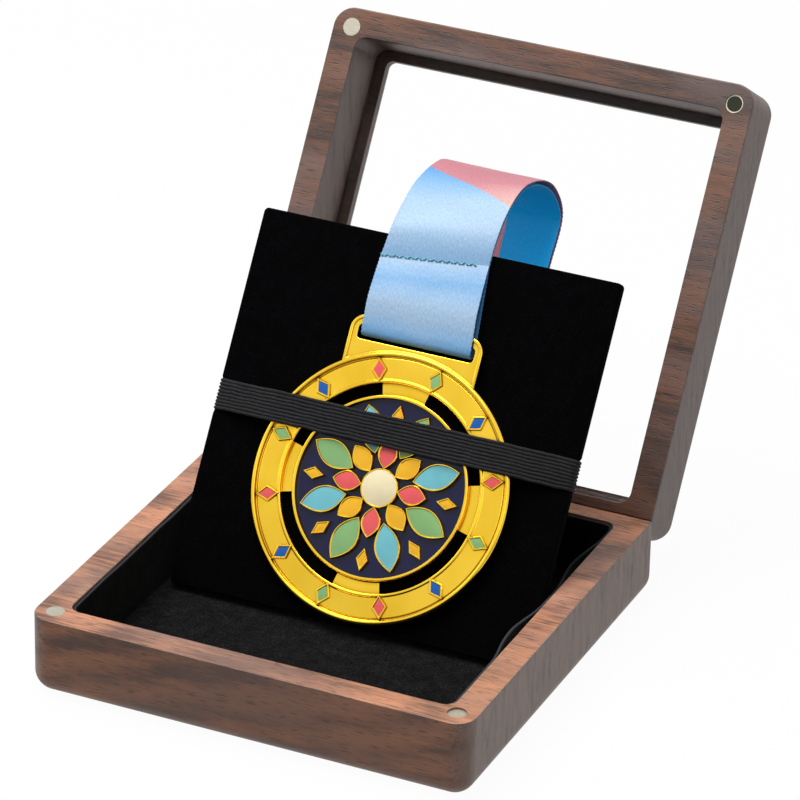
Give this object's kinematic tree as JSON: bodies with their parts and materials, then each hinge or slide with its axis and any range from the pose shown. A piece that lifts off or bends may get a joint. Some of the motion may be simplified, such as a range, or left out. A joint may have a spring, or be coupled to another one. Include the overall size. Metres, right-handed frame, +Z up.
{
  "type": "medal display box",
  "caption": "Square walnut display box with a hinged window lid and a velvet board on a folding easel, holding a round enamelled medal on a ribbon.",
  "frame": {"origin": "middle of the base's flat underside, the face that the box rests on", "axes": "+X to the right, +Y back towards the hinges, +Z up; the lid is stored open on its stop and the board stands on its easel"},
  "size_m": [0.12, 0.1928, 0.1192],
  "materials": {
    "walnut": "oiled walnut with open grain and softened edges",
    "tray_velvet": "short black velvet on card",
    "board_velvet": "deep black velvet",
    "grey_board": "stiff grey board",
    "backing_paper": "matt black paper",
    "hinge_brass": "turned brass",
    "pin_steel": "bright drawn steel",
    "leaf_steel": "zinc-plated steel sheet",
    "magnet_nickel": "nickel-plated magnet",
    "clear_acrylic": "clear cast acrylic",
    "easel_card": "velvet-covered card",
    "black_elastic": "ribbed black elastic",
    "medal_gold": "polished gold plating",
    "enamel_navy": "glossy navy enamel",
    "enamel_coral": "glossy coral enamel",
    "enamel_yellow": "glossy yellow enamel",
    "enamel_turquoise": "glossy turquoise enamel",
    "enamel_green": "glossy green enamel",
    "enamel_blue": "glossy blue enamel",
    "enamel_cream": "glossy cream enamel",
    "ribbon_satin": "printed satin, light blue and pink outside, deep blue inside",
    "teal_thread": "teal sewing thread"
  },
  "bodies": {
    "base": {"base_shell": "walnut", "floor_lining": "tray_velvet", "wall_lining": "tray_velvet", "base_magnet_left": "magnet_nickel", "base_magnet_right": "magnet_nickel", "hinge_barrel_base_left": "hinge_brass", "hinge_barrel_base_right": "hinge_brass", "hinge_pin_left": "pin_steel", "hinge_pin_right": "pin_steel", "ribbon_hank": "ribbon_satin"},
    "lid": {"lid_frame": "walnut", "window_pane": "clear_acrylic", "lid_magnet_left": "magnet_nickel", "lid_magnet_right": "magnet_nickel", "hinge_barrel_lid_left": "hinge_brass", "hinge_barrel_lid_right": "hinge_brass"},
    "easel": {"easel": "easel_card", "easel_hinge_leaf": "leaf_steel", "ribbon_arch_back": "ribbon_satin"},
    "board": {"board_core": "grey_board", "board_velvet": "board_velvet", "board_backing": "backing_paper", "board_hinge_leaf": "leaf_steel", "easel_pin": "pin_steel", "elastic_band": "black_elastic", "medal_body": "medal_gold", "medal_field": "enamel_navy", "enamel_petals_coral": "enamel_coral", "enamel_petals_yellow": "enamel_yellow", "enamel_leaves_turquoise": "enamel_turquoise", "enamel_leaves_green": "enamel_green", "enamel_studs_coral": "enamel_coral", "enamel_studs_blue": "enamel_blue", "enamel_studs_green": "enamel_green", "enamel_dots": "enamel_yellow", "enamel_centre": "enamel_cream", "ribbon_sewn_loop": "ribbon_satin", "ribbon_stitches": "teal_thread", "ribbon_arch_front": "ribbon_satin"}
  },
  "joints": [
    {"name": "lid_hinge", "type": "hinge", "parent": "base", "child": "lid", "pos_m": [0, 0.0553, 0.0218], "axis": [1, 0, 0], "range_deg": [0, 122.3]},
    {"name": "easel_foot", "type": "hinge", "parent": "base", "child": "easel", "pos_m": [0.001, 0.048, 0.0053], "axis": [1, 0, 0], "range_deg": [0, 65.2], "deforming": ["ribbon_arch_back"]},
    {"name": "board_hinge", "type": "hinge", "parent": "easel", "child": "board", "pos_m": [0.001, 0.02893, 0.04749], "axis": [1, 0, 0], "range_deg": [-122.2, 0], "deforming": ["ribbon_arch_front"]}
  ],
  "couplings": [
    {"joint": "easel_foot", "follows": "lid_hinge", "ratio": 0.53303},
    {"joint": "board_hinge", "follows": "lid_hinge", "ratio": -0.99909}
  ]
}
